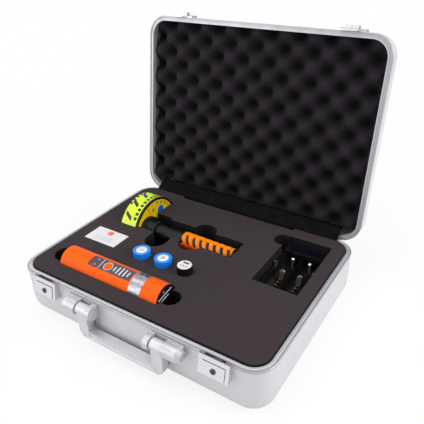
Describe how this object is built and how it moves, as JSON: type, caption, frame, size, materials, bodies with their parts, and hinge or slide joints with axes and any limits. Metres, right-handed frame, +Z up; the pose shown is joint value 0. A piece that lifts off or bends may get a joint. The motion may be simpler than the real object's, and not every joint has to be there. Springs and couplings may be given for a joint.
{
  "type": "instrument carrying case",
  "caption": "Open silver carrying case with foam insert, holding a tube transmitter, an arched detector with slotted grip, loose cells, a puck and a two-bay charger.",
  "frame": {"origin": "centre of the base's underside, on the surface that the case stands on", "axes": "+X to the right along the front, +Y to the hinges at the back, +Z up"},
  "size_m": [0.4152, 0.4168, 0.3881],
  "materials": {
    "shell": "satin, lightly textured",
    "frame": "satin extrusion with fine grooves",
    "foam": "dense closed-cell foam, matt",
    "lid_foam": "soft convoluted foam, matt",
    "cover": "flexible coated cloth, matt",
    "card": "plain card",
    "hinge": "satin",
    "foot": "matt",
    "cast": "silver, satin",
    "handle": "silver, satin",
    "latch": "bright",
    "steel": "bright zinc",
    "orange": "satin",
    "panel": "matt film",
    "foil": "foil",
    "black": "fine textured",
    "board": "coated circuit board",
    "wrap": "shrink wrap",
    "lime": "bright film",
    "yellow": "bright film",
    "blue_key": "satin",
    "lamp": "clear lens",
    "copper": "enamelled wire",
    "white": "insulating ring",
    "nickel": "nickel plated",
    "window": "dark tinted",
    "brass": "bare"
  },
  "bodies": {
    "base": {"base_shell": "shell", "base_frame": "frame", "base_foam_front": "foam", "base_foam_left": "foam", "base_foam_right": "foam", "blank_card": "card", "hinge_cover": "cover", "hinge_base_leaves": "hinge", "hinge_pins": "hinge", "base_fastenings": "steel", "base_rear_feet": "foot", "handle_bracket_left": "cast", "handle_bracket_right": "cast", "handle_pins": "steel", "latch_frame_left": "latch", "latch_frame_right": "latch", "latch_pins": "steel"},
    "lid": {"lid_shell": "shell", "lid_frame": "frame", "lid_foam": "lid_foam", "lid_hasps": "latch", "hinge_lid_leaves": "hinge", "lid_fastenings": "steel", "lid_rear_feet": "foot"},
    "handle": {"carry_handle": "handle"},
    "lever_left": {"latch_lever_left": "latch"},
    "lever_right": {"latch_lever_right": "latch"},
    "lock_left": {"lock_cylinder_left": "steel"},
    "lock_right": {"lock_cylinder_right": "steel"},
    "transmitter": {"transmitter_tube": "orange", "transmitter_panel": "panel", "transmitter_band": "foil", "transmitter_board": "board", "transmitter_cell": "wrap"},
    "power_button": {"transmitter_button": "orange"},
    "end_cap": {"transmitter_end_cap": "black"},
    "detector": {"detector_head": "black", "detector_band": "lime", "detector_face": "yellow", "detector_lamps": "lamp", "detector_hub": "black", "detector_grip": "orange", "detector_coil": "copper"},
    "key_pad": {"detector_button": "blue_key"},
    "cell_left": {"cell_left_can": "wrap", "cell_left_ring": "white", "cell_left_terminal": "nickel"},
    "cell_right": {"cell_right_can": "wrap", "cell_right_ring": "white", "cell_right_terminal": "nickel"},
    "puck": {"test_puck": "black", "test_puck_cap": "nickel"},
    "charger": {"charger_case": "black", "charger_window": "window", "charger_contacts": "nickel", "charger_spring_left": "brass", "charger_spring_right": "brass"},
    "slider_left": {"charger_slider_left": "brass"},
    "slider_right": {"charger_slider_right": "brass"}
  },
  "joints": [
    {"name": "lid_hinge", "type": "hinge", "parent": "base", "child": "lid", "pos_m": [0, 0.1554, 0.074], "axis": [-1, 0, 0], "range_deg": [-98, 0], "deforming": ["hinge_cover", "lid_foam"]},
    {"name": "handle_pivot", "type": "hinge", "parent": "base", "child": "handle", "pos_m": [0, -0.1651, 0.063], "axis": [-1, 0, 0], "range_deg": [0, 110]},
    {"name": "transmitter_lift", "type": "slide", "parent": "base", "child": "transmitter", "axis": [0, 0, 1], "range_m": [0, 0.06]},
    {"name": "power_button_press", "type": "slide", "parent": "transmitter", "child": "power_button", "axis": [0, 0.165, -0.9863], "range_m": [0, 0.0008], "stiffness_N_per_m": 400, "springref_m": -0.0006},
    {"name": "end_cap_turn", "type": "hinge", "parent": "transmitter", "child": "end_cap", "pos_m": [0.023, -0.098, 0.0725], "axis": [1, 0, 0], "range_deg": [0, 90]},
    {"name": "detector_lift", "type": "slide", "parent": "base", "child": "detector", "axis": [0, 0, 1], "range_m": [0, 0.08]},
    {"name": "key_pad_press", "type": "slide", "parent": "detector", "child": "key_pad", "axis": [-1, 0, 0], "range_m": [0, 0.0008], "stiffness_N_per_m": 400, "springref_m": -0.0006},
    {"name": "cell_left_lift", "type": "slide", "parent": "base", "child": "cell_left", "axis": [0, 0, 1], "range_m": [0, 0.06]},
    {"name": "cell_right_lift", "type": "slide", "parent": "base", "child": "cell_right", "axis": [0, 0, 1], "range_m": [0, 0.06]},
    {"name": "puck_lift", "type": "slide", "parent": "base", "child": "puck", "axis": [0, 0, 1], "range_m": [0, 0.04]},
    {"name": "charger_lift", "type": "slide", "parent": "base", "child": "charger", "axis": [0, 0, 1], "range_m": [0, 0.06]},
    {"name": "lever_left_swing", "type": "hinge", "parent": "base", "child": "lever_left", "pos_m": [-0.1435, -0.1605, 0.0554], "axis": [1, 0, 0], "range_deg": [0, 55], "stiffness_Nm_per_rad": 0.03, "springref_deg": -20.05},
    {"name": "lock_left_turn", "type": "hinge", "parent": "lever_left", "child": "lock_left", "pos_m": [-0.1435, -0.16409, 0.0618], "axis": [0, 1, 0], "range_deg": [0, 90]},
    {"name": "slider_left_slide", "type": "slide", "parent": "charger", "child": "slider_left", "axis": [0, -1, 0], "range_m": [0, 0.0325], "stiffness_N_per_m": 60, "springref_m": -0.006, "deforming": ["charger_spring_left"]},
    {"name": "lever_right_swing", "type": "hinge", "parent": "base", "child": "lever_right", "pos_m": [0.1435, -0.1605, 0.0554], "axis": [1, 0, 0], "range_deg": [0, 55], "stiffness_Nm_per_rad": 0.03, "springref_deg": -20.05},
    {"name": "lock_right_turn", "type": "hinge", "parent": "lever_right", "child": "lock_right", "pos_m": [0.1435, -0.16409, 0.0618], "axis": [0, 1, 0], "range_deg": [0, 90]},
    {"name": "slider_right_slide", "type": "slide", "parent": "charger", "child": "slider_right", "axis": [0, -1, 0], "range_m": [0, 0.0325], "stiffness_N_per_m": 60, "springref_m": -0.006, "deforming": ["charger_spring_right"]}
  ]
}
